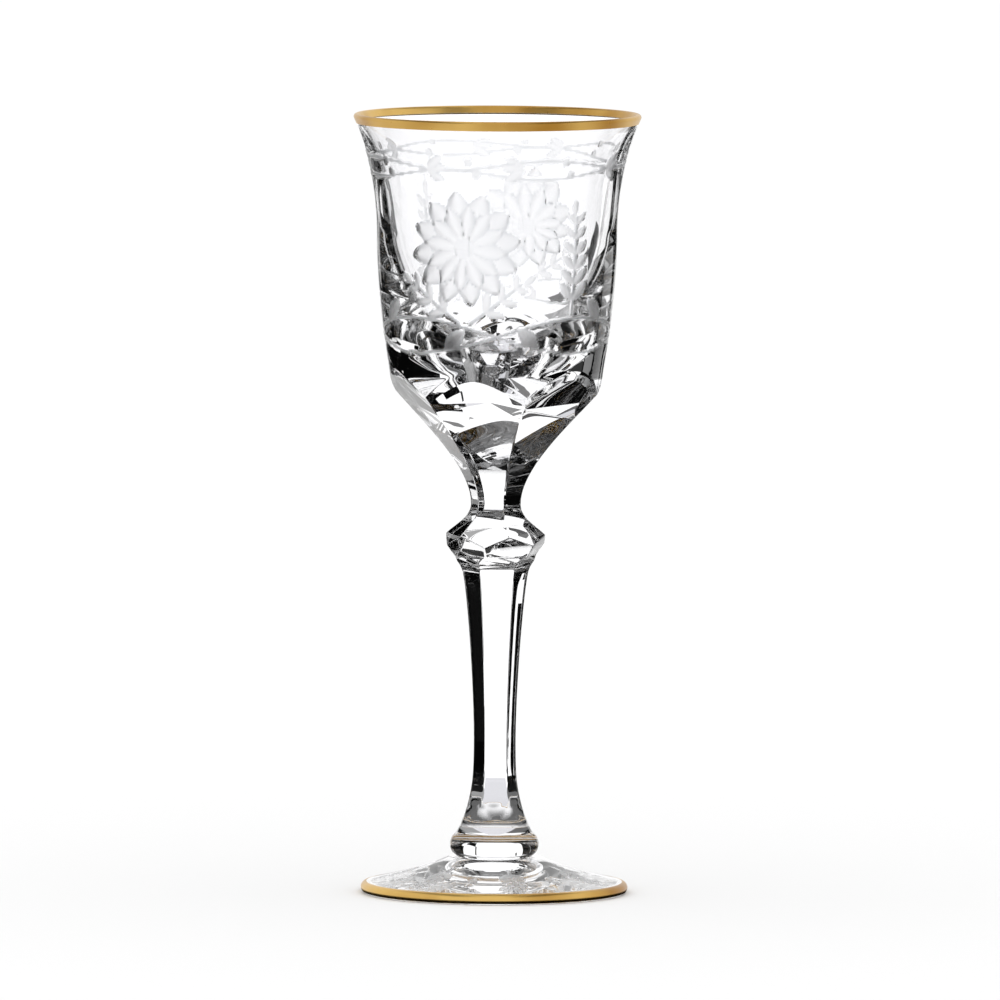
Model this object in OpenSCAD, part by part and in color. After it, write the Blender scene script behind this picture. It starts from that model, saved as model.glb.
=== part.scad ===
// Cordial glass of clear cut crystal: a flared bowl on a cut knop, a six-sided stem,
// a merese and a domed foot, with gold fired on the lip and on the edge of the foot.
// The origin is the centre of the plane that the glass stands on, and +Z is up.

/* [Heights] */
// Height of the foot at its middle, up to the merese
foot_h = 7.1; // [6:0.1:9]
// Height of the merese, the round wafer between the foot and the stem
merese_h = 4.6; // [3:0.1:6]
// Height of the stem, from the merese to the knop
stem_h = 50.3; // [44:0.1:70]
// Height of the knop, from the stem to the neck
knop_h = 13; // [12:0.1:16]
// Height of the bowl, from the neck to the lip
bowl_h = 75; // [70:0.5:90]

/* [Bowl] */
// Radius of the lip, outside
lip_r = 27.6; // [26:0.1:30]
// Thickness of the wall at the lip
lip_t = 1.15; // [0.8:0.05:1.6]
// Lean of the wall at the lip, from upright
lip_lean = 23.7; // [16:0.1:28]
// Radius of the upright middle of the bowl, outside
barrel_r = 23.1; // [22:0.1:24.5]
// Height of the upright middle above the neck
barrel_h = 52; // [46:0.5:56]
// Thickness of the wall at the upright middle
barrel_t = 2.5; // [1.5:0.05:3.5]
// Radius of the shoulder, where the cut panels begin
shoulder_r = 20.7; // [19.5:0.1:21.5]
// Height of the shoulder above the neck
shoulder_h = 26.6; // [24:0.1:30]
// Height of the cavity's bottom above the neck
base_h = 24.5; // [23:0.5:30]

/* [Cut panels] */
// Number of panels in each ring of cuts
panel_count = 6; // [6:2:10]
// Turn of the bowl's panels about the axis
bowl_turn = 17; // [0:1:60]
// Turn of the stem's panels about the axis
stem_turn = 33; // [0:1:60]
// Half the width across the panels at the neck
neck_r = 4.28; // [3.5:0.02:5.5]
// Height of the lowest corners of the knop's ridge above the stem
ridge_h = 5.5; // [5:0.1:7]
// Half the width across the upper panels at those corners
ridge_r = 9.7; // [9:0.1:11]
// Height of the lower edge of the knop's underside facets above the stem
underside_h = 3.2; // [2.5:0.1:4]
// Half the width across the underside facets at their lower edge
underside_r = 7.2; // [6.8:0.1:7.8]
// Rise of the underside facets for each millimetre that they spread
underside_slope = 1.55; // [1.3:0.05:1.9]

/* [Stem] */
// Half the width across the panels at the top of the stem
stem_top_r = 5.55; // [5:0.05:6.2]
// Half the width across the panels at the narrowest place
stem_waist_r = 3.53; // [3:0.01:4.5]
// Height of the narrowest place above the merese
stem_waist_h = 17.3; // [15:0.1:24]
// Radius of the round flare at the bottom of the stem
flare_r = 7.3; // [6.5:0.1:8]
// Radius of the round blank where the flare ends
flare_top_r = 4.22; // [4.15:0.01:5]
// Height at which the flare ends above the merese
flare_h = 12.3; // [11:0.1:14]
// Height of the rounded ends of the panels above the merese
tongue_h = 3.1; // [2.5:0.1:5]

/* [Merese and foot] */
// Radius of the merese at its widest
merese_r = 8.55; // [8.1:0.05:10]
// Radius of the crown in the middle of the foot
crown_r = 8.6; // [8.1:0.1:11]
// Radius of the foot
foot_r = 25.65; // [23:0.05:28]
// Thickness of the rounded edge of the foot
edge_t = 2.16; // [1.6:0.02:2.6]
// Width of the flat ring that the foot stands on
ring_w = 1.4; // [0.8:0.1:2.5]
// Height of the hollow under the foot at its middle
hollow_h = 2.4; // [1:0.1:3.5]

/* [Gold] */
// Width of the gold below the rounded lip, inside and outside
lip_gold_w = 1.1; // [0.6:0.1:3]
// Thickness of the gold
gold_t = 0.12; // [0.1:0.01:0.2]
// Angle on the foot's rounded edge where the gold starts, from level
gold_top_angle = 90; // [60:1:90]
// Angle below level where the gold on the foot ends
gold_low_angle = 50; // [20:1:60]

/* [Hidden] */
$fn = 96;

crystal = [0.86, 0.90, 0.93, 0.45];
gold = [0.82, 0.66, 0.32];

// Steps in one curve of an outline, and in one round of an edge
curve_steps = 14;
round_steps = 8;
// How far the cutting shapes reach past the glass
overrun = 2;

merese_z = foot_h;
stem_z = merese_z + merese_h;
knop_z = stem_z + stem_h;
neck_z = knop_z + knop_h;
rim_z = neck_z + bowl_h;
barrel_z = neck_z + barrel_h;
shoulder_z = neck_z + shoulder_h;
cavity_z = neck_z + base_h;
waist_z = stem_z + stem_waist_h;
flare_z = stem_z + flare_h;
tongue_z = stem_z + tongue_h;
ridge_z = knop_z + ridge_h;
underside_z = knop_z + underside_h;
reach = lip_r + overrun;
// Radius of a corner for one unit of half the width across the panels
corner_ratio = 1 / cos(180 / panel_count);

// Shares of the stretch that each curve's handles cover
flare_handle_share = 0.25;
barrel_handle_share = 0.33;
shoulder_handle_shares = [0.36, 0.24, 0.44];
blank_corner_shares = [0.96, 0.82];
cavity_handle_shares = [0.29, 0.96, 0.7, 0.5, 0.3];
panel_handle_shares = [0.134, 0.21, 0.34];
knop_handle_shares = [0.45, 0.28, 0.59];
stem_handle_shares = [0.36, 0.08, 0.32];
runout_handle_shares = [0.36, 0.3, 0.02, 1.3];
tongue_handle_shares = [0.56, 0.167, 0.225];
blank_handle_shares = [0.45, 0.2, 0.042, 0.45];
foot_handle_shares = [0.195, 0.3, 0.477, 0.37];
hollow_handle_share = 0.55;

// A cubic curve from p[0] to p[3] with the handles p[1] and p[2]
function curve(p, steps = curve_steps) = [
    for (i = [0:steps])
        let (t = i / steps, s = 1 - t)
            s * s * s * p[0] + 3 * s * s * t * p[1] + 3 * s * t * t * p[2] + t * t * t * p[3]
];

// The points of an arc, with angles from level
function arc(centre, radius, from, to, steps = round_steps) = [
    for (i = [0:steps])
        let (a = from + (to - from) * i / steps)
            centre + radius * [cos(a), sin(a)]
];

function mix(a, b, share) = a + (b - a) * share;
function reversed(points) = [for (i = [len(points) - 1:-1:0]) points[i]];

// The lip: its centre, the way up along its wall and the way out of its wall
lip_centre = [lip_r - lip_t / 2, rim_z - lip_t / 2];
lip_up = [sin(lip_lean), cos(lip_lean)];
lip_out = [cos(lip_lean), -sin(lip_lean)];

// A point on the wall below the lip, from its middle layer out by t and down by d
function lip_point(t, d) = lip_centre + t * lip_out - d * lip_up;

// The rounded lip of a wall of half-thickness t, from outside to inside
function lip_round(t) = arc(lip_centre, t, -lip_lean, 180 - lip_lean);

// The bowl's outside above the panels, from the gold down to the shoulder
function bowl_outside() = concat(
    curve([
        lip_point(lip_t / 2, lip_gold_w),
        lip_point(lip_t / 2, lip_gold_w + (rim_z - barrel_z) * flare_handle_share),
        [barrel_r, mix(barrel_z, rim_z, barrel_handle_share)],
        [barrel_r, barrel_z]
    ]),
    curve([
        [barrel_r, barrel_z],
        [barrel_r, mix(barrel_z, shoulder_z, shoulder_handle_shares[0])],
        [
            mix(shoulder_r, barrel_r, shoulder_handle_shares[2]),
            mix(shoulder_z, barrel_z, shoulder_handle_shares[1])
        ],
        [shoulder_r, shoulder_z]
    ])
);

// The cavity, from the gold down to the middle of its bottom
function cavity_side() =
    let (
        cavity_r = barrel_r - barrel_t,
        depth = barrel_z - cavity_z,
        low_handle = [cavity_r * cavity_handle_shares[1], barrel_z - depth * cavity_handle_shares[0]],
        lean = (cavity_r - low_handle[0]) / (barrel_z - low_handle[1]),
        rise = (rim_z - barrel_z) * cavity_handle_shares[4]
    )
    concat(
        curve([
            lip_point(-lip_t / 2, lip_gold_w),
            lip_point(-lip_t / 2, lip_gold_w + (rim_z - barrel_z) * cavity_handle_shares[3]),
            [cavity_r + lean * rise, barrel_z + rise],
            [cavity_r, barrel_z]
        ]),
        curve([
            [cavity_r, barrel_z],
            low_handle,
            [cavity_r * cavity_handle_shares[2], cavity_z],
            [0, cavity_z]
        ])
    );

// Half the outline of the blown bowl, before its panels are cut
module bowl_outline() {
    seat = lip_t / 2 - gold_t;
    polygon(concat(
        [[0, neck_z], [neck_r * corner_ratio + overrun / 2, neck_z]],
        [[
            mix(neck_r, shoulder_r, blank_corner_shares[0]),
            mix(neck_z, shoulder_z, blank_corner_shares[1])
        ]],
        reversed(bowl_outside()),
        [lip_point(seat, lip_gold_w)],
        lip_round(seat),
        [lip_point(-seat, lip_gold_w)],
        cavity_side()
    ));
}

// Half the width across the bowl's panels, from the shoulder down to the neck
function bowl_panel() =
    let (
        drop = shoulder_z - neck_z,
        spread = shoulder_r - neck_r
    )
    curve([
        [shoulder_r, shoulder_z],
        [shoulder_r - spread * panel_handle_shares[0], shoulder_z - drop * panel_handle_shares[1]],
        [neck_r, neck_z + drop * panel_handle_shares[2]],
        [neck_r, neck_z]
    ], 2 * curve_steps);

// Half the width across the knop's upper panels, from the neck down to the ridge
function knop_panel() =
    let (
        drop = neck_z - ridge_z,
        spread = ridge_r - neck_r
    )
    curve([
        [neck_r, neck_z],
        [neck_r, neck_z - drop * knop_handle_shares[0]],
        [ridge_r - spread * knop_handle_shares[1], neck_z - drop * knop_handle_shares[2]],
        [ridge_r, ridge_z]
    ]);

// A ring of panels: the sides are flat across and follow the outline down
module panel_ring(outline, turn) {
    intersection_for (i = [0:panel_count / 2 - 1])
        rotate([0, 0, turn + i * 360 / panel_count])
            rotate([90, 0, 0])
                linear_extrude(height = 2 * reach, center = true)
                    polygon(concat(outline, [for (p = reversed(outline)) [-p[0], p[1]]]));
}

// The panels that run from the bowl over the neck to the ridge of the knop
module bowl_panels() {
    edge = bowl_panel();
    lead = edge[0] - edge[1];
    panel_ring(concat(
        [[reach, rim_z + overrun]],
        [edge[0] + lead * (reach - edge[0][0]) / lead[0]],
        edge,
        [for (i = [1:curve_steps]) knop_panel()[i]],
        [[reach, ridge_z], [reach, knop_z - overrun]]
    ), bowl_turn);
}

// The facets under the ridge of the knop, half a panel round from those above
module underside_panels() {
    spread = reach - underside_r;
    panel_ring([
        [reach, underside_z + spread * underside_slope],
        [underside_r, underside_z],
        [underside_r, knop_z - overrun]
    ], bowl_turn + 180 / panel_count);
}

// Half the width across the stem's panels, from the shoulder under the knop
// down past the waist to the rounded ends
function stem_panel() =
    let (
        rise = knop_z - waist_z,
        top = [stem_top_r, knop_z],
        top_handle = [
            mix(stem_top_r, stem_waist_r, stem_handle_shares[2]),
            knop_z - rise * stem_handle_shares[1]
        ],
        slope = (top[0] - top_handle[0]) / (top[1] - top_handle[1]),
        shoulder = underside_h * runout_handle_shares[3]
    )
    concat(
        curve([
            [ridge_r + overrun, knop_z + shoulder],
            [underside_r, knop_z + shoulder * (1 - runout_handle_shares[2])],
            [
                stem_top_r + shoulder * runout_handle_shares[0] * slope,
                knop_z + shoulder * runout_handle_shares[0]
            ],
            top
        ]),
        curve([
            top,
            top_handle,
            [stem_waist_r, waist_z + rise * stem_handle_shares[0]],
            [stem_waist_r, waist_z]
        ]),
        curve([
            [stem_waist_r, waist_z],
            [stem_waist_r, mix(waist_z, tongue_z, tongue_handle_shares[0])],
            [
                mix(stem_waist_r, flare_radius(tongue_z), tongue_handle_shares[1]),
                mix(tongue_z, waist_z, tongue_handle_shares[2])
            ],
            [flare_radius(tongue_z), tongue_z]
        ])
    );

// The stem's round flare, from the merese up
function flare_side() = curve([
    [flare_r, stem_z],
    [
        mix(flare_r, flare_top_r, blank_handle_shares[0]),
        mix(stem_z, flare_z, blank_handle_shares[1])
    ],
    [
        mix(flare_top_r, flare_r, blank_handle_shares[2]),
        mix(flare_z, stem_z, blank_handle_shares[3])
    ],
    [flare_top_r, flare_z]
]);

// Radius of the flare at a height
function flare_radius(z) = lookup(z, [for (p = flare_side()) [p[1], p[0]]]);

module stem_panels() {
    edge = stem_panel();
    last = edge[len(edge) - 1];
    lead = last - edge[len(edge) - 2];
    panel_ring(concat(
        [[reach, neck_z + overrun], [reach, edge[0][1]]],
        edge,
        [last + lead * (reach - last[0]) / lead[0]]
    ), stem_turn);
}

module bowl() {
    color(crystal)
        intersection() {
            rotate_extrude() bowl_outline();
            bowl_panels();
        }
}

module knop() {
    color(crystal)
        intersection() {
            translate([0, 0, knop_z])
                cylinder(r = ridge_r * corner_ratio, h = knop_h);
            bowl_panels();
            underside_panels();
            stem_panels();
        }
}

module stem() {
    color(crystal)
        intersection() {
            rotate_extrude()
                polygon(concat(
                    [[0, stem_z]],
                    flare_side(),
                    [[stem_top_r * corner_ratio + overrun / 2, knop_z], [0, knop_z]]
                ));
            stem_panels();
        }
}

// A flat wafer whose side is one round bulge
module merese() {
    bulge = merese_r - flare_r;
    side_r = (merese_h * merese_h / 4 + bulge * bulge) / (2 * bulge);
    half_angle = asin(merese_h / 2 / side_r);
    color(crystal)
        rotate_extrude()
            polygon(concat(
                [[0, merese_z]],
                arc([merese_r - side_r, merese_z + merese_h / 2], side_r, -half_angle, half_angle),
                [[0, stem_z]]
            ));
}

edge_r = edge_t / 2;
edge_centre = [foot_r - edge_r, edge_r];

// The foot's rounded edge, from the top to the flat ring, set back under the gold
module foot() {
    seat_r = edge_r - gold_t;
    top = [edge_centre[0], edge_t];
    crown = [crown_r, foot_h];
    ring_r = edge_centre[0] - ring_w;
    color(crystal)
        rotate_extrude()
            polygon(concat(
                [[0, foot_h]],
                curve([
                    crown,
                    [
                        mix(crown[0], top[0], foot_handle_shares[0]),
                        mix(crown[1], top[1], foot_handle_shares[1])
                    ],
                    [
                        mix(crown[0], top[0], foot_handle_shares[2]),
                        mix(top[1], crown[1], foot_handle_shares[3])
                    ],
                    top
                ]),
                arc(edge_centre, edge_r, 90, gold_top_angle, 1),
                arc(edge_centre, seat_r, gold_top_angle, -gold_low_angle),
                arc(edge_centre, edge_r, -gold_low_angle, -90, 4),
                curve([
                    [ring_r, 0],
                    [mix(ring_r, 0, 1 - hollow_handle_share), hollow_h * hollow_handle_share],
                    [mix(0, ring_r, hollow_handle_share), hollow_h],
                    [0, hollow_h]
                ])
            ));
}

// Gold over the lip: a skin that lies flush in its seat inside and outside
module rim_gilding() {
    seat = lip_t / 2 - gold_t;
    color(gold)
        rotate_extrude()
            polygon(concat(
                [lip_point(lip_t / 2, lip_gold_w)],
                lip_round(lip_t / 2),
                [lip_point(-lip_t / 2, lip_gold_w), lip_point(-seat, lip_gold_w)],
                reversed(lip_round(seat)),
                [lip_point(seat, lip_gold_w)]
            ));
}

// Gold round the edge of the foot, clear of the ring that it stands on
module foot_gilding() {
    color(gold)
        rotate_extrude()
            polygon(concat(
                arc(edge_centre, edge_r, gold_top_angle, -gold_low_angle),
                arc(edge_centre, edge_r - gold_t, -gold_low_angle, gold_top_angle)
            ));
}

bowl();
knop();
stem();
merese();
foot();
rim_gilding();
foot_gilding();
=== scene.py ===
import math

import bpy
import numpy as np
from mathutils import Matrix, Vector


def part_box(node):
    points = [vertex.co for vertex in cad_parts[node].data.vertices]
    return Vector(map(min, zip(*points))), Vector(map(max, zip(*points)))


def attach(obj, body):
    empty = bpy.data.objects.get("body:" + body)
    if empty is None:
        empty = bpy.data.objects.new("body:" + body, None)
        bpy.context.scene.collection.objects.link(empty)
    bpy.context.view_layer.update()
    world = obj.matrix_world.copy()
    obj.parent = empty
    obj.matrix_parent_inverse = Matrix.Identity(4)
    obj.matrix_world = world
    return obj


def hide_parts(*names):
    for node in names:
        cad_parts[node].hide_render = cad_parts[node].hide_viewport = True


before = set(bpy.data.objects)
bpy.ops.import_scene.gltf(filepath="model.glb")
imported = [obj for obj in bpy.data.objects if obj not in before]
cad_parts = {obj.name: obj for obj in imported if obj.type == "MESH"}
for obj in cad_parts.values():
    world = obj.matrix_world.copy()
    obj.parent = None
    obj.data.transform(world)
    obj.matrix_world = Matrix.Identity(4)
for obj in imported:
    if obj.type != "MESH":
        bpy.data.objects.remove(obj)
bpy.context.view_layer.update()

MM = 0.001

# Levels of the joints between the pieces, in mm, read from the frame
MERESE_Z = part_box("merese")[0][2] / MM
STEM_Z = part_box("stem")[0][2] / MM
KNOP_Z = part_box("knop")[0][2] / MM
NECK_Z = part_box("bowl")[0][2] / MM
RIM_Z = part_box("rim_gilding")[1][2] / MM
LIP_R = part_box("rim_gilding")[1][0] / MM
FOOT_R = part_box("foot_gilding")[1][0] / MM

# The bowl, in mm
LIP_T = 1.15
LIP_LEAN = math.radians(23.7)
GOLD_W = 1.1
GOLD_T = 0.12
GOLD_GAP = 0.015
BARREL_R = 23.1
BARREL_Z = NECK_Z + 52
BARREL_T = 2.5
SHOULDER_R = 20.7
SHOULDER_Z = NECK_Z + 26.6
CAVITY_Z = NECK_Z + 24.5

# The rings of cut panels, in mm and degrees
PANELS = 6
PITCH = 360 / PANELS
BOWL_TURN = 17
UNDER_TURN = BOWL_TURN + PITCH / 2
STEM_TURN = 33
NECK_R = 4.28
RIDGE_R, RIDGE_Z = 9.7, KNOP_Z + 5.5
UNDER_R, UNDER_Z, UNDER_SLOPE = 7.2, KNOP_Z + 3.2, 1.55

# The stem, merese and foot, in mm
STEM_TOP_R = 5.55
WAIST_R, WAIST_Z = 3.53, STEM_Z + 17.3
FLARE_R, FLARE_TOP_R, FLARE_Z = 7.3, 4.22, STEM_Z + 12.3
TONGUE_Z = STEM_Z + 3.1
MERESE_R = 8.55
CROWN_R = 8.6
EDGE_T = 2.16
RING_W = 1.4
HOLLOW_H = 2.4
EDGE_R = EDGE_T / 2
EDGE_CENTRE = (FOOT_R - EDGE_R, EDGE_R)

# Angles on the foot's rounded edge between which it is gilded, from level
GOLD_TOP, GOLD_LOW = 90, -50

# The handles of each curve, as shares (out, up) of the way from their own end to the other end
SHOULDER_HANDLES = (0, 0.36), (0.44, 0.24)
CAVITY_HANDLES = (0.04, 0.29), (0.7, 0)
CONE_HANDLES = (0.134, 0.21), (0, 0.34)
RIDGE_HANDLES = (0, 0.45), (0.28, 0.41)
FLARE_HANDLES = (0.45, 0.2), (0.042, 0.45)
TONGUE_HANDLES = (0.833, 0.225), (0, 0.56)
STEM_HANDLES = (0, 0.36), (0.32, 0.08)
FOOT_HANDLES = (0.195, 0.3), (0.523, 0.37)
HOLLOW_HANDLES = (0.55, 0.55), (0.55, 0)

# Lengths of the handles at the lip and at the barrel, as shares of the height between them
OUTER_SHARES, INNER_SHARES = (0.25, 0.33), (0.5, 0.3)

# The point between neck and shoulder, in such shares, from which the bowl's blank widens to the shoulder
BLANK_SHARES = 0.96, 0.82

# How far up the stem's panels run out, as a share of the height to the facets, and their handles' shares
RUNOUT_RISE, RUNOUT_SHARES = 1.3, (0.36, 0.98)

# How softly the acid bath leaves the edges between cuts, in mm of radius
SOFT = 0.08

# How far cutting outlines run past the glass, and the line of the facets under the knop, in mm
OVERRUN = 1
UNDER_REACH = 6

# How near counts as the same point, as a joint's level, as a surface and as the axis, in mm
SAME, AT_LEVEL, NEAR, AXIS_R = 0.002, 0.01, 0.1, 1

# Steps in a curve of an outline, columns round a piece and round a plainer one, and the angle between
# two faces from which their edge stays sharp, in degrees
FINE = 60
COLUMNS, FEWER_COLUMNS = 480, 360
CREASE = 40


def mix(a, b, share):
    return a + (b - a) * share


def curve(points, steps):
    """A cubic curve from the first point to the last, with the two between as handles."""
    p = np.array(points, float)
    t = np.linspace(0, 1, steps + 1)[:, None]
    s = 1 - t
    return s**3 * p[0] + 3 * s * s * t * p[1] + 3 * s * t * t * p[2] + t**3 * p[3]


def between(start, end, shares):
    """The point at given shares (out, up) of the way from one point to another."""
    return mix(np.array(start), np.array(end), np.array(shares))


def bend(start, end, handles, steps=FINE):
    """A curve between two points, each handle given by its shares of the way from its own end."""
    return curve([start, between(start, end, handles[0]), between(end, start, handles[1]), end], steps)


def slope(start, end, shares):
    """How far outwards a curve sets out from its start for each mm upwards."""
    out, up = between(start, end, shares) - start
    return out / up


def arc(centre, radius, start, end, steps):
    """Points of an arc, with angles in degrees from level."""
    a = np.radians(np.linspace(start, end, steps + 1))
    return np.array(centre) + radius * np.stack([np.cos(a), np.sin(a)], 1)


def placed(outline, at):
    """Points of an outline at given distances along it."""
    run = np.concatenate([[0], np.cumsum(np.hypot(*np.diff(outline, axis=0).T))])
    return np.stack([np.interp(at, run, outline[:, i]) for i in (0, 1)], 1)


def length_of(outline):
    return np.hypot(*np.diff(outline, axis=0).T).sum()


def rows(outline, spacing):
    """The same outline with points at an even spacing along it."""
    length = length_of(outline)
    return placed(outline, np.linspace(0, length, max(2, round(length / spacing) + 1)))


# Outlines

lip_centre = np.array([LIP_R - LIP_T / 2, RIM_Z - LIP_T / 2])
lip_up = np.array([math.sin(LIP_LEAN), math.cos(LIP_LEAN)])
lip_out = np.array([math.cos(LIP_LEAN), -math.sin(LIP_LEAN)])


def lip_point(out, down):
    return lip_centre + out * lip_out - down * lip_up


def lip_round(half, steps):
    lean = math.degrees(LIP_LEAN)
    return arc(lip_centre, half, -lean, 180 - lean, steps)


CAVITY_R = BARREL_R - BARREL_T
BARREL, SHOULDER, NECK = (BARREL_R, BARREL_Z), (SHOULDER_R, SHOULDER_Z), (NECK_R, NECK_Z)
WELL, WELL_BOTTOM = (CAVITY_R, BARREL_Z), (0, CAVITY_Z)


def upper_wall(out, foot_of_wall, wall_lean, shares):
    """The wall from under the gold down to the barrel, at a distance out from the lip's middle."""
    at_lip, at_barrel = ((RIM_Z - BARREL_Z) * share for share in shares)
    r, z = foot_of_wall
    return curve([lip_point(out, GOLD_W), lip_point(out, GOLD_W + at_lip),
                  (r + wall_lean * at_barrel, z + at_barrel), foot_of_wall], FINE)


bowl_outside = np.vstack([
    upper_wall(LIP_T / 2, BARREL, 0, OUTER_SHARES),
    bend(BARREL, SHOULDER, SHOULDER_HANDLES)[1:],
    [between(NECK, SHOULDER, BLANK_SHARES)],
])[::-1]

cavity = np.vstack([
    upper_wall(-LIP_T / 2, WELL, slope(WELL, WELL_BOTTOM, CAVITY_HANDLES[0]), INNER_SHARES),
    bend(WELL, WELL_BOTTOM, CAVITY_HANDLES)[1:],
])

# Half the width across the panels that run from the bowl over the neck to the knop, upwards
upper_panel = np.vstack([
    bend(NECK, (RIDGE_R, RIDGE_Z), RIDGE_HANDLES)[::-1],
    bend(SHOULDER, NECK, CONE_HANDLES, 2 * FINE)[::-1][1:],
])

# The same for the facets under the knop's ridge
under_panel = np.array([
    (UNDER_R, KNOP_Z - OVERRUN), (UNDER_R, UNDER_Z),
    (UNDER_R + UNDER_REACH, UNDER_Z + UNDER_REACH * UNDER_SLOPE)])

# The stem's round flare and its whole blank, and half the width across its panels, all upwards
flare = bend((FLARE_R, STEM_Z), (FLARE_TOP_R, FLARE_Z), FLARE_HANDLES)
stem_blank = np.vstack([flare, [(STEM_TOP_R / math.cos(math.pi / PANELS) + OVERRUN, KNOP_Z)]])
TONGUE = (float(np.interp(TONGUE_Z, flare[:, 1], flare[:, 0])), TONGUE_Z)
WAIST, STEM_TOP = (WAIST_R, WAIST_Z), (STEM_TOP_R, KNOP_Z)
STEM_LEAN = slope(STEM_TOP, WAIST, STEM_HANDLES[1])
RUNOUT = (UNDER_Z - KNOP_Z) * RUNOUT_RISE
RUNOUT_LOW, RUNOUT_HIGH = (RUNOUT * share for share in RUNOUT_SHARES)
stem_panel = np.vstack([
    bend(TONGUE, WAIST, TONGUE_HANDLES),
    bend(WAIST, STEM_TOP, STEM_HANDLES)[1:],
    curve([STEM_TOP, (STEM_TOP_R + RUNOUT_LOW * STEM_LEAN, KNOP_Z + RUNOUT_LOW),
           (UNDER_R, KNOP_Z + RUNOUT_HIGH), (RIDGE_R + 2 * OVERRUN, KNOP_Z + RUNOUT)], FINE)[1:],
])


def across(outline, z):
    """Radius or half-width of an upward outline at each height, run on in a line past its ends."""
    r = np.interp(z, outline[:, 1], outline[:, 0])
    (r0, z0), (r1, z1) = outline[0], outline[1]
    (r2, z2), (r3, z3) = outline[-2], outline[-1]
    r = np.where(z < z0, r0 + (z - z0) * (r1 - r0) / (z1 - z0), r)
    return np.where(z > z3, r3 + (z - z3) * (r3 - r2) / max(z3 - z2, 1e-3), r)


def off_middle(turn, azimuth):
    """How far an azimuth lies from the middle of its panel, in degrees."""
    return abs((azimuth - turn + PITCH / 2) % PITCH - PITCH / 2)


def stretch(turn, azimuth):
    """Radius at which a panel is met, for each unit of half the width across."""
    return 1 / np.cos(np.radians(off_middle(turn, azimuth)))


def panels(outline, turn, azimuth, z):
    """Radii at which the nearest panel of a ring and the next one are met."""
    half, off = across(outline, z), off_middle(turn, azimuth)
    return half / np.cos(np.radians(off)), half / np.cos(np.radians(PITCH - off))


def meet(*sides):
    """Radius of the glass that is left inside all the cuts, its edges a little softened."""
    sides = np.array(sides)
    least = sides.min(axis=0)
    return least - SOFT * np.log(np.exp((least - sides) / SOFT).sum(axis=0))


def crossing(inner, outer, low, high, halvings=30):
    """The height between two levels where the radius inner(z) - outer(z) changes its sign."""
    low, high = np.array(low, float), np.array(high, float)
    below = inner(low) - outer(low) < 0
    for _ in range(halvings):
        mid = (low + high) / 2
        same = (inner(mid) - outer(mid) < 0) == below
        low, high = np.where(same, mid, low), np.where(same, high, mid)
    return (low + high) / 2


# Modelling

def only(piece):
    bpy.ops.object.select_all(action="DESELECT")
    piece.select_set(True)
    bpy.context.view_layer.objects.active = piece


def spun(name, outline, columns):
    """Draws half an outline from the axis round to the axis and turns it into a closed body."""
    mesh = bpy.data.meshes.new(name)
    points = [(r, 0, z) for r, z in np.array(outline) * MM]
    mesh.from_pydata(points, [(i, i + 1) for i in range(len(points) - 1)], [])
    piece = bpy.data.objects.new(name, mesh)
    bpy.context.scene.collection.objects.link(piece)
    only(piece)
    lathe = piece.modifiers.new("lathe", "SCREW")
    lathe.axis, lathe.angle, lathe.screw_offset = "Z", math.tau, 0
    lathe.steps = lathe.render_steps = columns
    lathe.use_merge_vertices, lathe.merge_threshold = True, SAME * MM
    bpy.ops.object.modifier_apply(modifier=lathe.name)
    bpy.ops.object.mode_set(mode="EDIT")
    bpy.ops.mesh.select_all(action="SELECT")
    bpy.ops.mesh.normals_make_consistent(inside=False)
    bpy.ops.object.mode_set(mode="OBJECT")
    return piece


def points_of(piece):
    """Radius, azimuth in degrees and height of every point, in mm."""
    co = np.empty(len(piece.data.vertices) * 3)
    piece.data.vertices.foreach_get("co", co)
    x, y, z = co.reshape(-1, 3).T / MM
    return np.hypot(x, y), np.degrees(np.arctan2(y, x)), z


def shape(piece, r, azimuth, z):
    """Puts every point at a radius, azimuth and height."""
    a = np.radians(azimuth)
    co = np.stack([r * np.cos(a), r * np.sin(a), z], 1) * MM
    piece.data.vertices.foreach_set("co", co.ravel())
    piece.data.update()


def finish_piece(piece, node, materials, crease=CREASE):
    """Smooths all but the creases and ties the piece to the frame."""
    only(piece)
    bpy.ops.object.shade_smooth_by_angle(angle=math.radians(crease))
    for mat in materials:
        piece.data.materials.append(mat)
    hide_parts(node)
    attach(piece, "root")


def joint_caps(piece, levels, radius=math.inf):
    """Gives the flat faces at the joints their own material, out to a radius."""
    faces = piece.data.polygons
    centre, normal = np.empty(len(faces) * 3), np.empty(len(faces) * 3)
    faces.foreach_get("center", centre)
    faces.foreach_get("normal", normal)
    x, y, z = centre.reshape(-1, 3).T / MM
    gap = np.min([abs(z - height) for height in levels], axis=0)
    flat = abs(normal.reshape(-1, 3)[:, 2]) > 0.999
    cap = flat & (gap < AT_LEVEL) & (np.hypot(x, y) < radius)
    faces.foreach_set("material_index", cap.astype(np.int32))


# Engraving: each cut is a shape on the surface with a depth in mm, a matt finish and a painted shade

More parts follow.
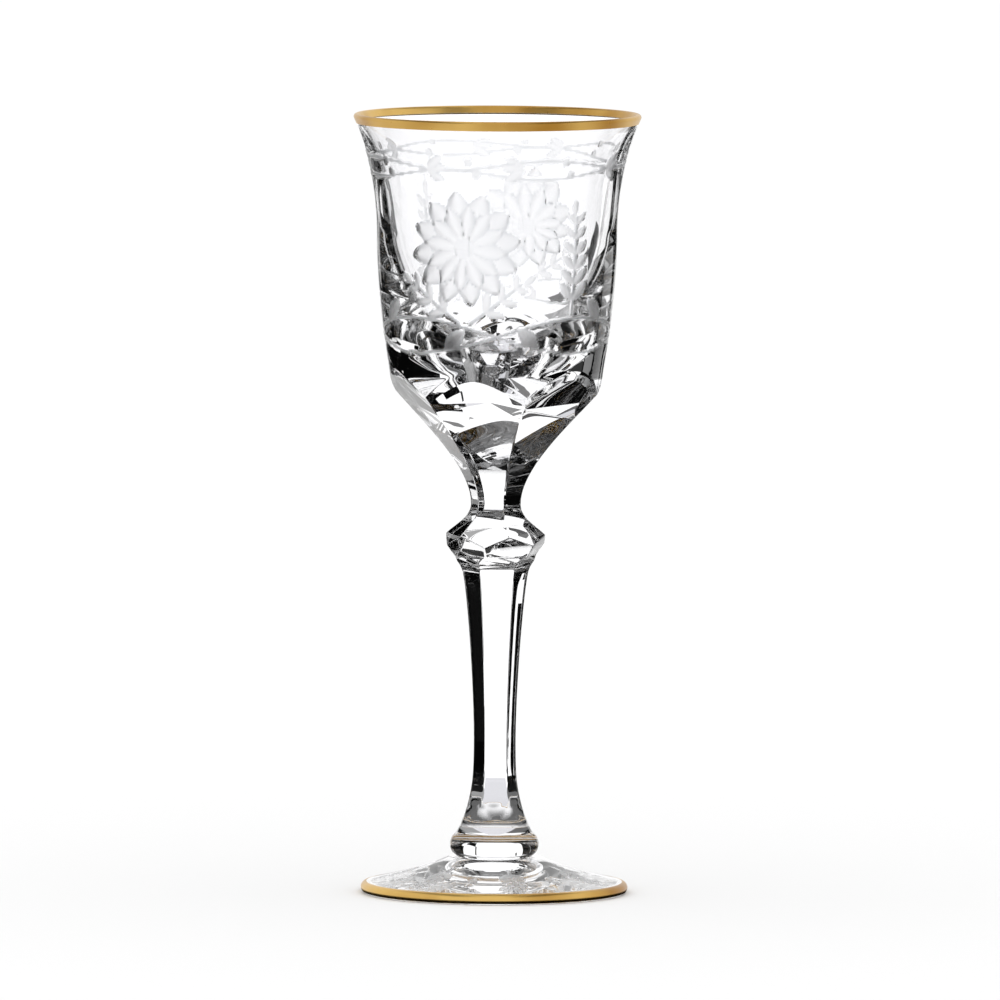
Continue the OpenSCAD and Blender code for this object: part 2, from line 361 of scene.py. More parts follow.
class Engraving:
    """Depth, matt finish and painted shade on a surface laid out flat, with u along it and v up it, in mm."""

    def __init__(self, u, v, around=0):
        self.u, self.v, self.around = u, v, around
        self.depth, self.frost, self.painted_shade = (np.zeros(len(u)) for _ in range(3))

    def local(self, u, v, angle):
        """Coordinates from a place on the surface, a along an angle and b to its left."""
        du, dv = self.u - u, self.v - v
        if self.around:
            du = (du + self.around / 2) % self.around - self.around / 2
        c, s = math.cos(math.radians(angle)), math.sin(math.radians(angle))
        return du * c + dv * s, dv * c - du * s

    def cut(self, inside, depth, frost, painted_shade=0.25):
        """Sets the depth in mm, and the matt finish and painted shade from 0 to 1, inside a shape."""
        self.depth = np.where(inside, depth, self.depth)
        self.frost = np.where(inside, frost, self.frost)
        self.painted_shade = np.where(inside, painted_shade, self.painted_shade)

    def leaf(self, u, v, angle, length, width, deep, full=1.0, vein=0.0):
        """A leaf or petal hollowed by the side of a wheel, fuller towards its tip where full is over 1."""
        a, b = self.local(u, v, angle)
        t = np.clip(a / length, 1e-6, 1 - 1e-6)
        half = width / 2 * np.sin(math.pi * t**full) ** 0.7
        side = np.clip(abs(b) / np.maximum(half, 1e-3), 0, 1)
        inside = (a > 0) & (a < length) & (abs(b) < half)
        hollow = (1 - side**2) * (0.45 + 0.55 * t)
        if vein:
            hollow = hollow * (0.55 + 0.45 * np.clip(abs(b) / vein, 0, 1))
        # Painted shade, pale over the whole leaf and darkest at its edges towards the tip
        self.cut(inside, deep * hollow, 0.75 + 0.25 * side, 0.1 + 0.8 * side**3 * t)

    def line(self, distance, width, deep):
        """A thin cut that follows a line, from the distance of every point to it."""
        share = np.clip(1 - (distance / width) ** 2, 0, 1)
        self.depth = np.maximum(self.depth, deep * share)
        self.frost = np.maximum(self.frost, np.clip(1.6 * share, 0, 1))
        # Painted shade, darkest down the middle of the line
        self.painted_shade = np.maximum(self.painted_shade, 0.6 * share)

    def berry(self, u, v, radius, deep):
        """A round hollow."""
        a, b = self.local(u, v, 0)
        share = 1 - (a * a + b * b) / radius**2
        self.cut(share > 0, deep * np.sqrt(np.clip(share, 0, 1)), 0.9)

    def aster(self, u, v, size, petals=12):
        """Two rings of petals about a cross-hatched middle."""
        for reach, width, order, deep in ((1.0, 0.42, 0, 0.4), (0.74, 0.3, 1, 0.42)):
            for i in range(petals):
                turn = 180 / petals * (2 * i + order) + 8
                self.leaf(u, v, turn, size * reach, size * width, deep, full=1.7)
        a, b = self.local(u, v, 45)
        hatch = 0.95
        weave = np.cos(a * math.tau / hatch) * np.cos(b * math.tau / hatch)
        self.cut(np.hypot(a, b) < size * 0.19, 0.16 + 0.12 * weave, 0.8 + 0.2 * weave)

    def spray(self, u, v, length, lean, pairs, leaf, width):
        """A bowed stem with pairs of leaves that grow smaller towards its tip."""
        def bow(along):
            return 0.03 * along * along / length * (1 if lean < 90 else -1)

        a, b = self.local(u, v, lean)
        on_stem = (a > 0) & (a < length)
        self.line(np.where(on_stem, abs(b - bow(a)), math.inf), width=0.42, deep=0.15)
        c, s = math.cos(math.radians(lean)), math.sin(math.radians(lean))
        for i in range(pairs):
            t = (i + 1) / (pairs + 0.5)
            d = length * t
            at = (u + d * c - bow(d) * s, v + d * s + bow(d) * c)
            size = leaf * (1.05 - 0.45 * t)
            for hand in (-1, 1):
                self.leaf(*at, lean + hand * 44, size, width * size / leaf, deep=0.2, vein=0.3)
        self.leaf(u + length * c, v + length * s, lean, leaf * 0.7, width * 0.7, deep=0.2, vein=0.3)

    def finish(self, piece, cut):
        """Writes the matt finish and the painted shade of the cuts on the points of a piece."""
        for name, value in (("frost", self.frost), ("painted_shade", self.painted_shade)):
            written = piece.data.attributes.new(name, "FLOAT", "POINT")
            written.data.foreach_set("value", np.where(cut, value, 0))


# Materials

def linear(hex_colour):
    """A colour written as in sRGB, turned to linear."""
    parts = [int(hex_colour[i:i + 2], 16) / 255 for i in (1, 3, 5)]
    return [c / 12.92 if c <= 0.04045 else ((c + 0.055) / 1.055) ** 2.4 for c in parts] + [1]


def add(mat, kind, settings=None, links=None):
    """Adds a node, sets its attributes and plain sockets, and links the rest."""
    node = mat.node_tree.nodes.new(kind)
    for key, value in (settings or {}).items():
        if isinstance(key, str) and hasattr(node, key):
            setattr(node, key, value)
        else:
            node.inputs[key].default_value = value
    for key, source in (links or {}).items():
        mat.node_tree.links.new(source, node.inputs[key])
    return node


def material(name):
    mat = bpy.data.materials.new(name)
    mat.use_nodes = True
    mat.node_tree.nodes.clear()
    return mat, add(mat, "ShaderNodeOutputMaterial")


def connect(mat, out, shader):
    mat.node_tree.links.new(shader.outputs[0], out.inputs["Surface"])


def cut_crystal():
    """Lead-free crystal, blown and cut: acid-polished on its facets, and matt where the wheel engraved it,
    with a painted grey shade in the cuts.
    """
    mat, out = material("cut_crystal")
    frost = add(mat, "ShaderNodeAttribute", {"attribute_name": "frost"})
    rough = add(mat, "ShaderNodeMapRange", {"To Max": 0.5}, {"Value": frost.outputs["Fac"]})
    # Painted shade: the glass in the cuts turns grey as the engraving's painted shade rises
    painted_shade = add(mat, "ShaderNodeAttribute", {"attribute_name": "painted_shade"})
    tone = add(mat, "ShaderNodeMix", {"data_type": "RGBA", 6: linear("#FEFEFF"), 7: linear("#C4C9CF")},
               {"Factor": painted_shade.outputs["Fac"]})
    connect(mat, out, add(mat, "ShaderNodeBsdfPrincipled", {"IOR": 1.53, "Transmission Weight": 1.0}, {
        "Roughness": rough.outputs["Result"], "Base Color": tone.outputs[2]}))
    return mat


def fused_joint():
    """Where two gathers of hot glass met no surface is left, so light passes straight through."""
    mat, out = material("fused_joint")
    connect(mat, out, add(mat, "ShaderNodeBsdfPrincipled", {"Alpha": 0.0, "Roughness": 0.0}))
    return mat


def fired_gold():
    """Liquid bright gold, fired and burnished: a warm satin mirror, darker in broad patches laid at random.
    """
    mat, out = material("fired_gold")
    place = add(mat, "ShaderNodeTexCoord").outputs["Object"]
    # Brush marks of about 1 mm, and darker patches of about 20 mm laid at random
    grain = add(mat, "ShaderNodeTexNoise", {"Scale": 900.0, "Detail": 4.0}, {"Vector": place})
    broad = add(mat, "ShaderNodeTexNoise", {"Scale": 52.0, "Detail": 2.0}, {"Vector": place})
    # The gold is darker where this broad noise is high, in patches at random
    thin = add(mat, "ShaderNodeMapRange", {"From Min": 0.42, "From Max": 0.66},
               {"Value": broad.outputs["Fac"]})
    tone = add(mat, "ShaderNodeMix", {"data_type": "RGBA", 6: linear("#E0B96A"), 7: linear("#A97B33")},
               {"Factor": thin.outputs["Result"]})
    rough = add(mat, "ShaderNodeMapRange", {"To Min": 0.22, "To Max": 0.4}, {"Value": grain.outputs["Fac"]})
    bump = add(mat, "ShaderNodeBump", {"Strength": 0.06, "Distance": 0.0001},
               {"Height": grain.outputs["Fac"]})
    connect(mat, out, add(mat, "ShaderNodeBsdfPrincipled", {"Metallic": 1.0}, {
        "Roughness": rough.outputs["Result"], "Normal": bump.outputs["Normal"],
        "Base Color": tone.outputs[2]}))
    return mat


CRYSTAL, FUSED, GOLD = cut_crystal(), fused_joint(), fired_gold()


# The pieces

# Rows of points up the bowl, in mm: their number on the panels, the first ones above the arches,
# and their spacing on the wall and in the cavity
PANEL_ROWS = 35
FIRST_ROWS = 0, 0.09, 0.1, 0.12, 0.16, 0.22, 0.3
WALL_ROW, CAVITY_ROW = 0.38, 3.0
# The same spacing on the foot, in the hollow under it and along the gold at the lip
FOOT_ROW, HOLLOW_ROW, GOLD_ROW = 0.26, 1.2, 0.3
# The level up to which the rows on the wall follow the arches
WALL_TOP_Z = NECK_Z + 33
# How much closer the columns lie at the edges between panels, and the rows towards an arch or a tongue
DENSER = 0.6
CROWDED = 1.5
# Levels between which the arches, the knop's ridge and the stem's tongues are looked for
ARCH_RANGE = SHOULDER_Z - 8, SHOULDER_Z + 0.5
RIDGE_RANGE = UNDER_Z + 0.5, NECK_Z - 1
TONGUE_RANGE = TONGUE_Z - 0.2, FLARE_Z
# The margins round the engraving of the bowl and of the foot, in mm
ART_BELOW_RIM, ART_ABOVE_ARCH = 2.4, 1.2
ART_FROM_CROWN, ART_FROM_EDGE = 1, 2.2

# The bowl's engraving, in mm: the vines' level and swing, and the width and depth of thin lines
VINE_Z, VINE_SWING = 108.5, 3.4
LINE_W, LINE_DEEP = 0.34, 0.12


def panel_top(azimuth):
    """Height of the arches in which the bowl's panels end."""
    k = stretch(BOWL_TURN, azimuth)
    return crossing(lambda z: across(upper_panel, z) * k, lambda z: across(bowl_outside, z), *ARCH_RANGE)


def front(azimuth):
    """Turns an azimuth counted from the front, with the right positive, to the mesh's own."""
    return azimuth - 90


def bowl_engraving(azimuth, z):
    """Asters at the front and back, leafy sprays between them, a garland under the lip and vines below."""
    art = Engraving(np.radians(azimuth) * BARREL_R, z, math.tau * BARREL_R)
    angle = np.radians(azimuth)

    def place(a):
        return math.radians(front(a)) * BARREL_R

    # Two crossing vines with leaves on them
    for phase, first in ((0, 22), (math.pi, 62)):
        art.line(abs(z - (VINE_Z + VINE_SWING * np.sin(2 * angle + phase))), LINE_W, LINE_DEEP)
        for i in range(4):
            a = 90 * i + first
            height = VINE_Z + VINE_SWING * math.sin(2 * math.radians(front(a)) + phase)
            art.leaf(place(a), height, 90 + (-1) ** i * 48, length=6.2, width=3.0, deep=0.3, vein=0.4)
    # The garland: two waved lines, with threes of leaves and pairs of berries
    for phase, middle in ((0, 141.4), (math.pi, 139.6)):
        art.line(abs(z - middle - 0.9 * np.sin(4 * angle + phase)), LINE_W, LINE_DEEP)
    for i in range(8):
        a = 45 * i + 12
        for turn in (-34, 8, 40) if i % 2 else (146, 172, 214):
            art.leaf(place(a), 140.6, turn, length=4.2, width=1.9, deep=0.26, vein=0.3)
        art.berry(place(a + 20), 141.9, radius=0.8, deep=0.24)
        art.berry(place(a + 23), 139.6, radius=0.8, deep=0.24)
    # Tall sprays, and each aster over two low ones
    for a in (40, 220):
        art.spray(place(a), 112.5, length=19, lean=90, pairs=6, leaf=4.8, width=2.0)
    for a in (-16, 164):
        for hand in (-1, 1):
            art.spray(place(a) + hand, 111, length=13, lean=90 - hand * 55, pairs=3, leaf=4.6, width=2.0)
        art.aster(place(a), 125.5, size=11)
    return art


def bowl():
    seat = LIP_T / 2 - GOLD_T - GOLD_GAP
    wall = bowl_outside[bowl_outside[:, 1] >= SHOULDER_Z - 1e-6]
    length = length_of(wall)
    first = np.cumsum(FIRST_ROWS)
    levels = 1 - (1 - np.linspace(0, 1, PANEL_ROWS)) ** CROWDED
    blank = np.vstack([
        [(0, NECK_Z)],
        np.stack([np.full(PANEL_ROWS, NECK_R), mix(NECK_Z, SHOULDER_Z, levels)], 1)[:-1],
        placed(wall, np.concatenate([first, np.linspace(first[-1], length, round(length / WALL_ROW))[1:]])),
        [lip_point(seat, GOLD_W)], lip_round(seat, steps=8), [lip_point(-seat, GOLD_W)],
        rows(cavity, CAVITY_ROW),
    ])
    piece = spun("crystal_bowl", blank, COLUMNS)
    r, azimuth, z = points_of(piece)
    panel = (z < SHOULDER_Z - AT_LEVEL) & (r > AXIS_R) & (r < NECK_R + NEAR)
    outside = (z > SHOULDER_Z - AT_LEVEL) & (r > across(bowl_outside, z) - 2 * NEAR)
    side = outside & (z < WALL_TOP_Z)
    dense = DENSER * np.where(panel, 1, np.where(side, (WALL_TOP_Z - z) / (WALL_TOP_Z - SHOULDER_Z), 0))
    from_edge = np.radians((azimuth - BOWL_TURN - PITCH / 2) * PANELS)
    azimuth = azimuth - np.degrees(dense / PANELS * np.sin(from_edge))
    top = panel_top(azimuth)
    z = np.where(panel, NECK_Z + (top - NECK_Z) * (z - NECK_Z) / (SHOULDER_Z - NECK_Z), z)
    z = np.where(side, top + (WALL_TOP_Z - top) * (z - SHOULDER_Z) / (WALL_TOP_Z - SHOULDER_Z), z)
    glass = meet(*panels(upper_panel, BOWL_TURN, azimuth, z), across(bowl_outside, z))
    r = np.where(panel | side, glass, r)
    art = bowl_engraving(azimuth, z)
    cut = outside & (z > top + ART_ABOVE_ARCH) & (z < RIM_Z - ART_BELOW_RIM)
    shape(piece, r - np.where(cut, art.depth, 0), azimuth, z)
    art.finish(piece, cut)
    joint_caps(piece, [NECK_Z])
    finish_piece(piece, "bowl", [CRYSTAL, FUSED])


def eased(t):
    """Runs from 0 to 1 with its steps closest at both ends."""
    return (1 - np.cos(math.pi * t)) / 2


def drum(zones, steps):
    """Half the outline of a drum 5 mm in radius, 1 mm high for each zone, whose points are moved later."""
    level = np.linspace(0, zones, zones * steps + 1)
    return np.vstack([[(0, 0)], np.stack([np.full(len(level), 5.0), level], 1), [(0, zones)]])


def knop():
    """Three zones: the runout of the stem's panels, the underside facets, and the panels over the ridge."""
    piece = spun("cut_knop", drum(zones=3, steps=30), COLUMNS)
    r, azimuth, level = points_of(piece)
    over, under = stretch(BOWL_TURN, azimuth), stretch(UNDER_TURN, azimuth)
    below = stretch(STEM_TURN, azimuth)
    ridge = crossing(lambda h: across(upper_panel, h) * over, lambda h: across(under_panel, h) * under,
                     *RIDGE_RANGE)
    low = crossing(lambda h: across(under_panel, h) * under, lambda h: across(stem_panel, h) * below,
                   KNOP_Z, ridge)
    z = np.where(level <= 1, mix(KNOP_Z, low, eased(level)), 0)
    z = np.where((level > 1) & (level <= 2), mix(low, ridge, eased(level - 1)), z)
    z = np.where(level > 2, mix(ridge, NECK_Z, eased(level - 2)), z)
    glass = meet(*panels(stem_panel, STEM_TURN, azimuth, z), *panels(under_panel, UNDER_TURN, azimuth, z),
                 *panels(upper_panel, BOWL_TURN, azimuth, z))
    shape(piece, np.where(r > AXIS_R, glass, 0), azimuth, z)
    joint_caps(piece, [KNOP_Z, NECK_Z])
    finish_piece(piece, "knop", [CRYSTAL, FUSED])


def stem():
    """Two zones: the round flare, and the six panels over it."""
    piece = spun("six_sided_stem", drum(zones=2, steps=60), FEWER_COLUMNS)
    r, azimuth, level = points_of(piece)
    side = stretch(STEM_TURN, azimuth)
    tongue = crossing(lambda h: across(stem_panel, h) * side, lambda h: across(flare, h), *TONGUE_RANGE)
    z = np.where(level <= 1,
                 mix(STEM_Z, tongue, 1 - np.maximum(1 - level, 0) ** CROWDED),
                 mix(tongue, KNOP_Z, np.maximum(level - 1, 0) ** CROWDED))
    glass = meet(*panels(stem_panel, STEM_TURN, azimuth, z), across(stem_blank, z))
    shape(piece, np.where(r > AXIS_R, glass, 0), azimuth, z)
    joint_caps(piece, [STEM_Z, KNOP_Z])
    finish_piece(piece, "stem", [CRYSTAL, FUSED])


def merese():
    bulge = MERESE_R - FLARE_R
    tall = STEM_Z - MERESE_Z
    side_r = (tall * tall / 4 + bulge * bulge) / (2 * bulge)
    half = math.degrees(math.asin(tall / 2 / side_r))
    side = arc((MERESE_R - side_r, mix(MERESE_Z, STEM_Z, 0.5)), side_r, -half, half, steps=28)
    piece = spun("merese_wafer", np.vstack([[(0, MERESE_Z)], side, [(0, STEM_Z)]]), FEWER_COLUMNS)
    joint_caps(piece, [MERESE_Z, STEM_Z])
    finish_piece(piece, "merese", [CRYSTAL, FUSED], crease=20)


def foot_engraving(r, azimuth):
    """Leafy sprays that point outwards, with two berries between each pair."""
    a = np.radians(azimuth)
    art = Engraving(r * np.cos(a), r * np.sin(a))
    sprays = 7
    for i in range(sprays):
        turn = front(360 / sprays * i + 12)
        c, s = math.cos(math.radians(turn)), math.sin(math.radians(turn))
        art.spray(12.2 * c, 12.2 * s, length=9, lean=turn, pairs=4, leaf=3.9, width=1.7)
        side = turn + 180 / sprays
        c, s = math.cos(math.radians(side)), math.sin(math.radians(side))
        art.berry(17.5 * c, 17.5 * s, radius=0.9, deep=0.2)
        art.berry(20.0 * c, 20.0 * s, radius=0.7, deep=0.2)
    return art


def foot():
    seat = EDGE_R - GOLD_T - GOLD_GAP
    ring = EDGE_CENTRE[0] - RING_W
    top = bend((CROWN_R, MERESE_Z), (EDGE_CENTRE[0], EDGE_T), FOOT_HANDLES)
    under = bend((ring, 0), (0, HOLLOW_H), HOLLOW_HANDLES)
    outline = np.vstack([
        [(0, MERESE_Z), (FLARE_R, MERESE_Z)], rows(top, FOOT_ROW),
        arc(EDGE_CENTRE, seat, GOLD_TOP, GOLD_LOW, steps=16),
        arc(EDGE_CENTRE, EDGE_R, GOLD_LOW, -90, steps=8),
        rows(under, HOLLOW_ROW),
    ])[::-1]
    piece = spun("domed_foot", outline, COLUMNS)
    r, azimuth, z = points_of(piece)
    art = foot_engraving(r, azimuth)
    # The upper side lies above a line that falls between it and the hollow
    upper_side = z > np.interp(r, [0, CROWN_R, FOOT_R], [9, 5, EDGE_T - 0.3])
    cut = upper_side & (z > HOLLOW_H * 0.99) & (r > CROWN_R + ART_FROM_CROWN) & (r < FOOT_R - ART_FROM_EDGE)
    shape(piece, r, azimuth, z - np.where(cut, art.depth, 0))
    art.finish(piece, cut)
    joint_caps(piece, [MERESE_Z], FLARE_R)
    finish_piece(piece, "foot", [CRYSTAL, FUSED])


def skin(name, outline, node):
    """A closed band of gold, from its half section spun round the axis."""
    piece = spun(name, np.vstack([outline, outline[:1]]), FEWER_COLUMNS)
    finish_piece(piece, node, [GOLD], crease=30)


def lip_side(out, start, end):
    """Rows of points along the straight wall under the lip."""
    return rows(np.array([lip_point(out, start), lip_point(out, end)]), GOLD_ROW)


def rim_gold():
    seat = LIP_T / 2 - GOLD_T
    skin("gold_lip", np.vstack([
        lip_side(LIP_T / 2, GOLD_W, 0)[:-1],
        lip_round(LIP_T / 2, steps=24),
        lip_side(-LIP_T / 2, 0, GOLD_W)[1:],
        lip_side(-seat, GOLD_W, 0)[:-1],
        lip_round(seat, steps=24)[::-1],
        lip_side(seat, 0, GOLD_W)[1:],
    ]), "rim_gilding")


def foot_gold():
    skin("gold_foot_edge", np.vstack([
        arc(EDGE_CENTRE, EDGE_R, GOLD_TOP, GOLD_LOW, steps=30),
        arc(EDGE_CENTRE, EDGE_R - GOLD_T, GOLD_LOW, GOLD_TOP, steps=30),
    ]), "foot_gilding")


# The studio, in m

# How far away and how high the camera stands, where it looks, the width that it sees there, its roll,
# and its sensor's width in mm
CAMERA_AWAY = 3.5
CAMERA_HIGH = 0.356
AIM = Vector((0.0008, 0, 0.0757))
FIELD_W = 0.19206
ROLL = math.radians(0.26)
SENSOR_W = 36
# The plain level of the light, and the background's where glass lets it through, which makes up
# for what each surface of the glass takes away
LIGHT_LEVEL = 1.12
THROUGH_LEVEL = 1.27
BOUNCES = 32


def camera():
    """A long lens a little above the glass, with the photograph's small roll."""
    data = bpy.data.cameras.new("camera")
    cam = bpy.data.objects.new("camera", data)
    bpy.context.scene.collection.objects.link(cam)
    cam.location = (AIM.x, -CAMERA_AWAY, CAMERA_HIGH)
    away = AIM - cam.location
    cam.rotation_mode = "QUATERNION"
    cam.rotation_quaternion = away.to_track_quat("-Z", "Y") @ Matrix.Rotation(ROLL, 3, "Z").to_quaternion()
    data.sensor_width = SENSOR_W
    data.lens = SENSOR_W * away.length / FIELD_W
    data.clip_start, data.clip_end = 0.05, 60
    bpy.context.scene.camera = cam
    return cam


def brightness(mat):
    """The strength of white: higher for rays that come through glass, and 1 for all others."""
    path = add(mat, "ShaderNodeLightPath")
    return path, add(mat, "ShaderNodeMapRange", {"To Min": 1.0, "To Max": THROUGH_LEVEL},
                     {"Value": path.outputs["Is Transmission Ray"]})


def studio_world():
    """White all round for what the camera, gloss and glass see, and a plain level for light."""
    world = bpy.data.worlds.new("studio")
    bpy.context.scene.world = world
    world.use_nodes = True
    world.node_tree.nodes.clear()
    out = add(world, "ShaderNodeOutputWorld")
    path, seen = brightness(world)
    light = add(world, "ShaderNodeMapRange", {"To Max": LIGHT_LEVEL},
                {"Value": path.outputs["Is Diffuse Ray"], "To Min": seen.outputs[0]})
    connect(world, out, add(world, "ShaderNodeBackground", {"Color": (1, 1, 1, 1)},
                            {"Strength": light.outputs[0]}))


def sheet(name, size=1):
    """A flat sheet of the studio, with an empty material."""
    bpy.ops.mesh.primitive_plane_add(size=size)
    piece = bpy.context.active_object
    piece.name = name
    mat, out = material(name)
    piece.data.materials.append(mat)
    return piece, mat, out


# The painted shadow on the floor under the foot, which only glass and gold see: full to the first radius and
# gone at the second, how dark it is, and a narrow painted black ring of contact shadow just round the foot's
# edge, by its radius and half its width
SHADOW_FULL, SHADOW_END, SHADOW_DARK = 0.013, 0.027, 0.88
SHADOW_RING_AT, SHADOW_RING_HALF = 0.0262, 0.001


def floor():
    """A pale floor that keeps the glass's shadow. Glass and gold see it as white, with a painted shadow under
    the foot and a painted black ring round its edge.
    """
    _, mat, out = sheet("pale_floor", 14)
    plain = add(mat, "ShaderNodeBsdfDiffuse", {"Color": linear("#F4F4F4")})
    path, light = brightness(mat)
    seen = add(mat, "ShaderNodeMath", {"operation": "MAXIMUM"},
               {0: path.outputs["Is Glossy Ray"], 1: path.outputs["Is Transmission Ray"]})
    place = add(mat, "ShaderNodeTexCoord")
    from_axis = add(mat, "ShaderNodeVectorMath", {"operation": "LENGTH"}, {0: place.outputs["Object"]})
    # Painted shadow for glass and gold: dark in the middle under the foot, and in a thin ring just round its
    # edge
    middle = add(mat, "ShaderNodeMapRange", {
        "interpolation_type": "SMOOTHSTEP", "From Min": SHADOW_FULL, "From Max": SHADOW_END,
        "To Min": SHADOW_DARK, "To Max": 0.0}, {"Value": from_axis.outputs["Value"]})
    edge = add(mat, "ShaderNodeMath", {"operation": "COMPARE", 1: SHADOW_RING_AT, 2: SHADOW_RING_HALF},
               {0: from_axis.outputs["Value"]})
    dark = add(mat, "ShaderNodeMath", {"operation": "MAXIMUM"}, {0: middle.outputs[0], 1: edge.outputs[0]})
    painted_shadow = add(mat, "ShaderNodeMath", {"operation": "MULTIPLY"}, {0: dark.outputs[0], 1: seen.outputs[0]})
    tone = add(mat, "ShaderNodeMix", {"data_type": "RGBA", 6: (1, 1, 1, 1), 7: linear("#050505")},
               {"Factor": painted_shadow.outputs[0]})
    white = add(mat, "ShaderNodeEmission", {}, {"Strength": light.outputs[0], "Color": tone.outputs[2]})
    connect(mat, out, add(mat, "ShaderNodeMixShader", {},
                          {0: seen.outputs[0], 1: plain.outputs[0], 2: white.outputs[0]}))


def upright(x, y_low, y_high, z_low, z_high, lean_low=0.0, lean_high=0.0):
    """Corners of a card that stands beside the glass, its edges leaning back from z_low to z_high."""
    return ((x, y_low, z_low), (x, y_high, z_low),
            (x, y_high + lean_high, z_high), (x, y_low + lean_low, z_high))


def lying(z, x_low, x_high, y_low, y_high):
    """Corners of a card that lies on the floor or hangs level."""
    return (x_low, y_low, z), (x_high, y_low, z), (x_high, y_high, z), (x_low, y_high, z)


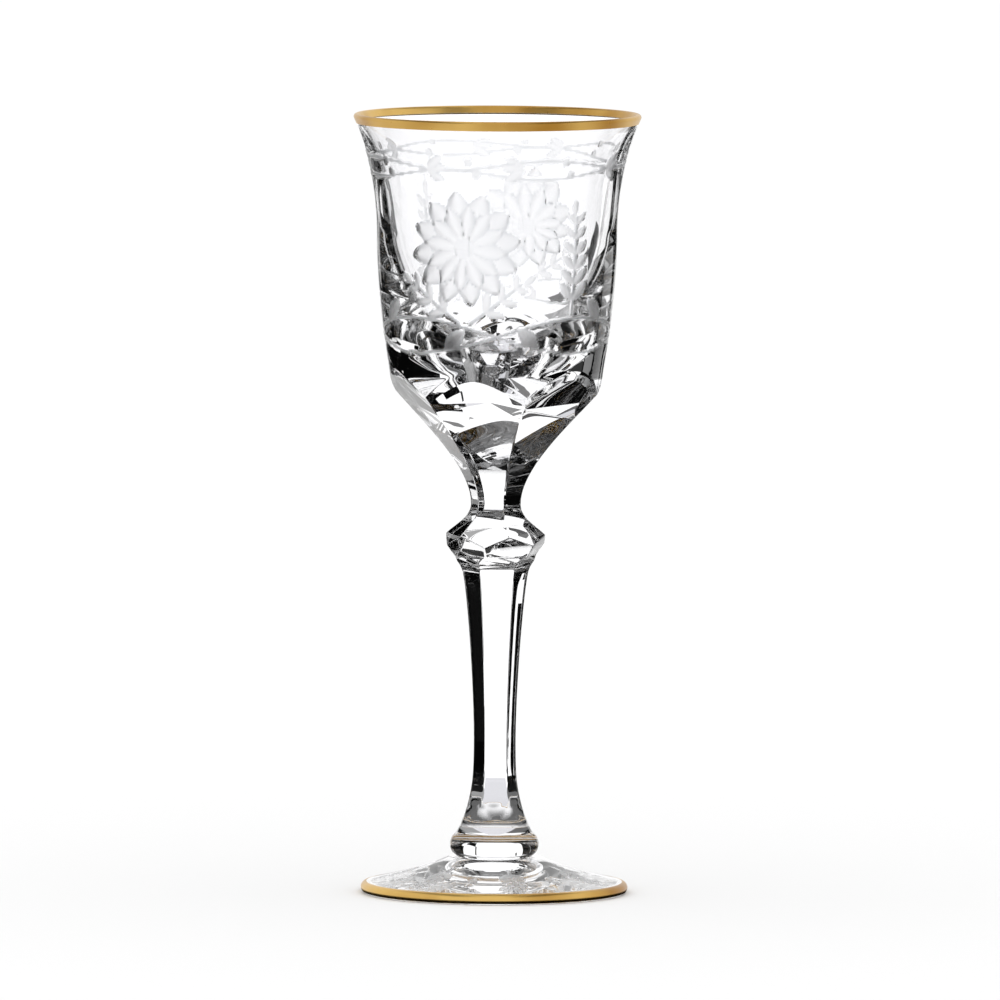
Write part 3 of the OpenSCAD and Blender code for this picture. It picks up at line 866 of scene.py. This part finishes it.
# Dark cards as a photographer sets them round clear glass, each by its name, colour and corners.
# A window is a lighter card just before a dark one. First the side cards' distance from the axis,
# their near edge and their top, then how far a window stands before its card, and the levels of
# the cards that lie on the floor and of those that reach under them
SIDE, DEEP, TALL = 0.07, -0.30, 0.4
BEFORE, LAID, LAID_UNDER = 0.001, 0.0005, 0.0004
BLACK, DARK, DUSK, GREY, MIST = "#050505", "#3A3A3A", "#606060", "#8C8C8C", "#B4B4B4"
PALE, WHITE = "#EAEAEE", "#FFFFFF"
CARDS = (
    ("left_low", BLACK, upright(-SIDE, DEEP, 0.0786, 0, 0.085, 0, 0.0038)),
    ("left_low_behind", BLACK, upright(-SIDE, 0.0796, 0.13, 0, 0.060, 0.0027, 0)),
    ("left_low_middle", BLACK, upright(-SIDE, 0.087, 0.13, 0.060, 0.073)),
    ("left_low_top", BLACK, upright(-SIDE, 0.0829, 0.13, 0.073, 0.085)),
    ("left_low_far", DUSK, upright(-SIDE, 0.137, 0.178, 0.076, 0.111)),
    ("left_mid", BLACK, upright(-SIDE, DEEP, 0.03, 0.085, 0.15)),
    ("left_mid_behind", BLACK, upright(-SIDE, 0.03, 0.092, 0.085, 0.12)),
    ("left_mid_low", BLACK, upright(-SIDE, 0.092, 0.145, 0.086, 0.105)),
    ("left_mid_top", BLACK, upright(-SIDE, 0.03, 0.10, 0.12, 0.15)),
    ("left_mid_far", DARK, upright(-SIDE, 0.10, 0.135, 0.121, 0.133)),
    ("left_high", BLACK, upright(-SIDE, DEEP, 0.088, 0.15, TALL)),
    ("left_high_behind", GREY, upright(-SIDE, 0.115, 0.15, 0.185, 0.24)),
    ("left_knop", BLACK, upright(-SIDE, 0.14, 0.20, 0.115, 0.16)),
    ("left_knop_low", DUSK, upright(-SIDE, 0.178, 0.196, 0, 0.02)),
    ("left_window", "#A0A0A0", upright(-SIDE + BEFORE, 0.005, 0.057, 0.125, 0.19)),
    ("left_window_behind", GREY, upright(-SIDE + BEFORE, 0.075, 0.096, 0.118, 0.126)),
    ("left_window_high", WHITE, upright(-SIDE + BEFORE, -0.065, -0.045, 0.205, 0.235)),
    ("left_window_low", WHITE, upright(-SIDE + BEFORE, 0.090, 0.102, 0.047, 0.066)),
    ("right_low", BLACK, upright(SIDE, DEEP, 0.097, 0, 0.085)),
    ("right_low_front", BLACK, upright(SIDE, 0.097, 0.113, 0, 0.03)),
    ("right_window", MIST, upright(SIDE - BEFORE, 0.042, 0.060, 0.047, 0.084)),
    ("right_low_far", BLACK, upright(SIDE, 0.127, 0.137, 0.042, 0.085)),
    ("right_mid", BLACK, upright(SIDE, DEEP, 0.03, 0.085, 0.15)),
    ("right_mid_behind", BLACK, upright(SIDE, 0.078, 0.10, 0.085, 0.15)),
    ("right_mid_far", BLACK, upright(SIDE, 0.10, 0.131, 0.088, 0.125)),
    ("right_mid_top", BLACK, upright(SIDE, 0.03, 0.078, 0.118, 0.135)),
    ("right_high", BLACK, upright(SIDE, DEEP, 0.088, 0.15, TALL)),
    ("right_far", BLACK, upright(SIDE, 0.131, 0.19, 0.110, 0.124)),
    ("right_low_behind", BLACK, upright(SIDE, 0.137, 0.22, 0.042, 0.085)),
    ("right_knop_low", DARK, upright(SIDE, 0.2205, 0.24, 0.008, 0.045)),
    ("left_floor", BLACK, lying(LAID, -SIDE, -0.027, DEEP, 0.06)),
    ("left_floor_behind", BLACK, lying(LAID, -SIDE, -0.045, 0.06, 0.09)),
    ("left_far_floor", GREY, lying(LAID, -0.040, -0.022, 0.125, 0.15)),
    ("right_floor", BLACK, lying(LAID, 0.027, SIDE, DEEP, 0.05)),
    ("right_floor_behind", BLACK, lying(LAID, 0.042, SIDE, 0.05, 0.088)),
    ("right_floor_far", MIST, lying(LAID_UNDER, 0.027, SIDE, 0.05, 0.13)),
    ("front_floor", BLACK, lying(LAID, -0.03, 0.03, DEEP, -0.027)),
    ("left_near_floor", "#707070", ((-0.0275, 0.0105, LAID_UNDER), (-0.009, 0.0275, LAID_UNDER),
                                    (-0.009, 0.06, LAID_UNDER), (-0.0275, 0.06, LAID_UNDER))),
    ("right_near_floor", "#A8A8A8", ((0.009, 0.0275, LAID_UNDER), (0.0275, 0.0105, LAID_UNDER),
                                     (0.0275, 0.06, LAID_UNDER), (0.009, 0.06, LAID_UNDER))),
    ("far_floor", PALE, lying(LAID_UNDER, -0.009, 0.009, 0.0275, 0.115)),
    ("far_right_floor", GREY, lying(LAID, 0.035, 0.055, 0.165, 0.205)),
    ("middle_ceiling", DUSK, lying(TALL, -0.11, 0.11, DEEP, 0.25)),
    ("front_card", "#505050", ((-SIDE, DEEP, 0), (SIDE, DEEP, 0), (SIDE, DEEP, TALL), (-SIDE, DEEP, TALL))),
)
# Cards over the glass that the satin gold shows too, as its darker zones
HIGH_CARDS = (
    ("left_ceiling", "#686868", lying(TALL, -0.25, -0.11, DEEP, 0.25)),
    ("right_ceiling", "#686868", lying(TALL, 0.11, 0.25, DEEP, 0.25)),
)


def card(name, colour, corners, mirrored):
    """A card that shows only in clear glass and in what mirrors it, and gives no light or shadow."""
    piece, mat, out = sheet(name)
    path = add(mat, "ShaderNodeLightPath")
    seen = add(mat, "ShaderNodeMath", {"operation": "MAXIMUM"},
               {0: path.outputs[mirrored], 1: path.outputs["Is Transmission Ray"]})
    clear = add(mat, "ShaderNodeBsdfTransparent")
    glow = add(mat, "ShaderNodeEmission", {"Color": linear(colour)})
    connect(mat, out, add(mat, "ShaderNodeMixShader", {},
                          {0: seen.outputs[0], 1: clear.outputs[0], 2: glow.outputs[0]}))
    low, high, high_top, low_top = corners
    for vertex, corner in zip(piece.data.vertices, (low, high, low_top, high_top)):
        vertex.co = corner
    piece.visible_camera = piece.visible_diffuse = piece.visible_shadow = False
    return piece


def cards(cam):
    """The cards on one stand, which turns with the camera: every view has its dark edges left and right."""
    stand = bpy.data.objects.new("card_stand", None)
    bpy.context.scene.collection.objects.link(stand)
    turn = stand.constraints.new("COPY_ROTATION")
    turn.target = cam
    turn.use_x = turn.use_y = False
    for table, mirrored in ((CARDS, "Is Singular Ray"), (HIGH_CARDS, "Is Glossy Ray")):
        for name, colour, corners in table:
            card(name, colour, corners, mirrored).parent = stand


bowl()
knop()
stem()
merese()
foot()
rim_gold()
foot_gold()
cam = camera()
studio_world()
floor()
cards(cam)

scene = bpy.context.scene
scene.view_settings.view_transform = "Standard"
scene.cycles.max_bounces = BOUNCES
scene.cycles.glossy_bounces = BOUNCES
scene.cycles.transmission_bounces = BOUNCES
scene.cycles.transparent_max_bounces = BOUNCES
